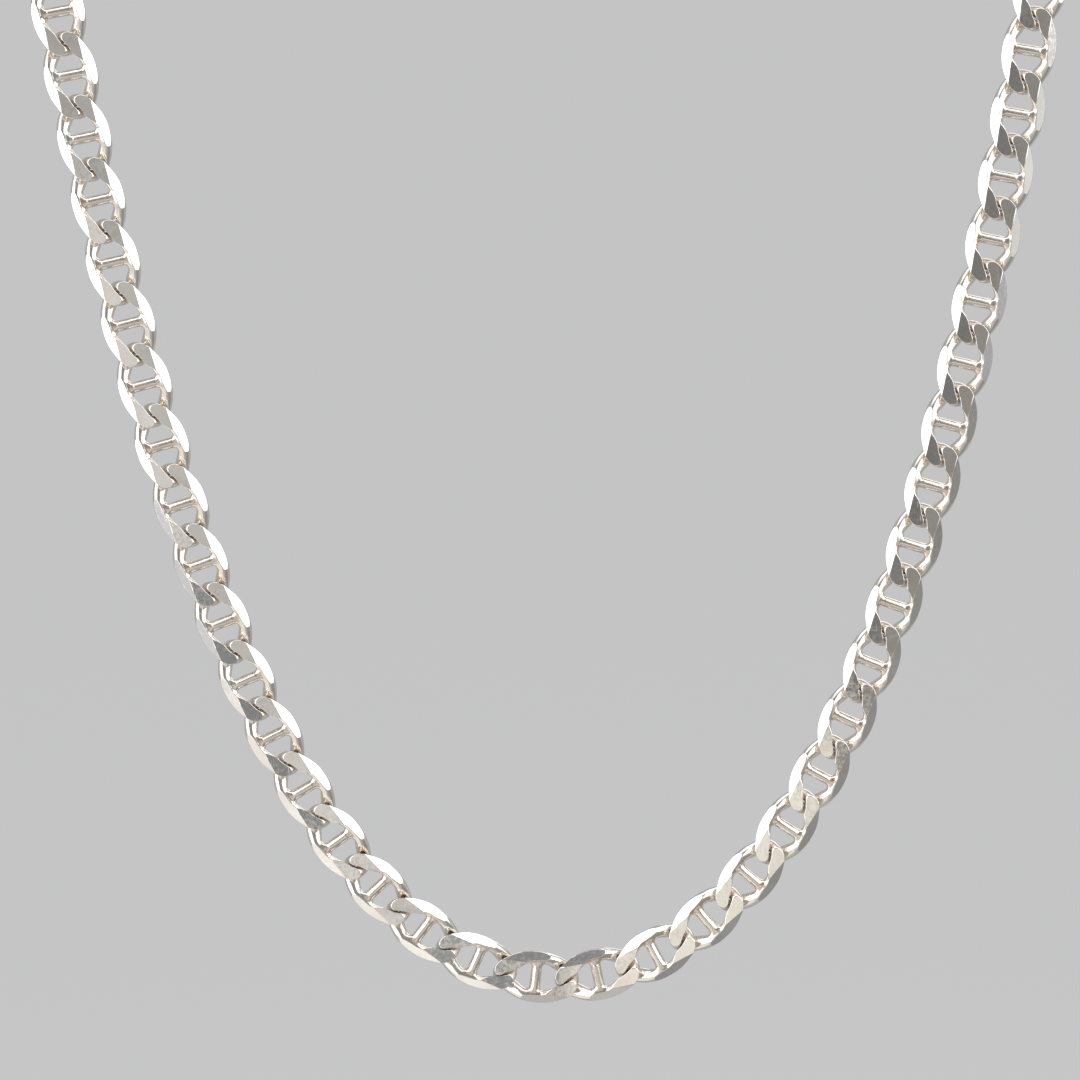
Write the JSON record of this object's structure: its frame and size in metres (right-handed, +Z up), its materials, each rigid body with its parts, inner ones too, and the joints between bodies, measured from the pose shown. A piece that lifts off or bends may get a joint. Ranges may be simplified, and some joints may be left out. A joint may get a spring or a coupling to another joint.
{
  "type": "mariner link neck chain",
  "caption": "Closed neck chain of flat-cut twisted oval links, each with a cross bar, hanging as a loop and fastened with a plain clasp.",
  "frame": {"origin": "top of the hanging loop, in the middle of the clasp's under side, where the chain rests on the back of a neck", "axes": "+Z up, from the lowest link to the clasp; -Y to the front, square to the links' flat faces; +X to the right as seen from the front"},
  "size_m": [0.1226, 0.0064, 0.205],
  "materials": {
    "link_silver": "polished silver, diamond cut flat faces, fine scratches, light tarnish in the crevices",
    "clasp_silver": "polished silver, lightly scratched"
  },
  "bodies": {
    "root": {"left_links": "link_silver", "right_links": "link_silver", "clasp": "clasp_silver"}
  },
  "joints": []
}
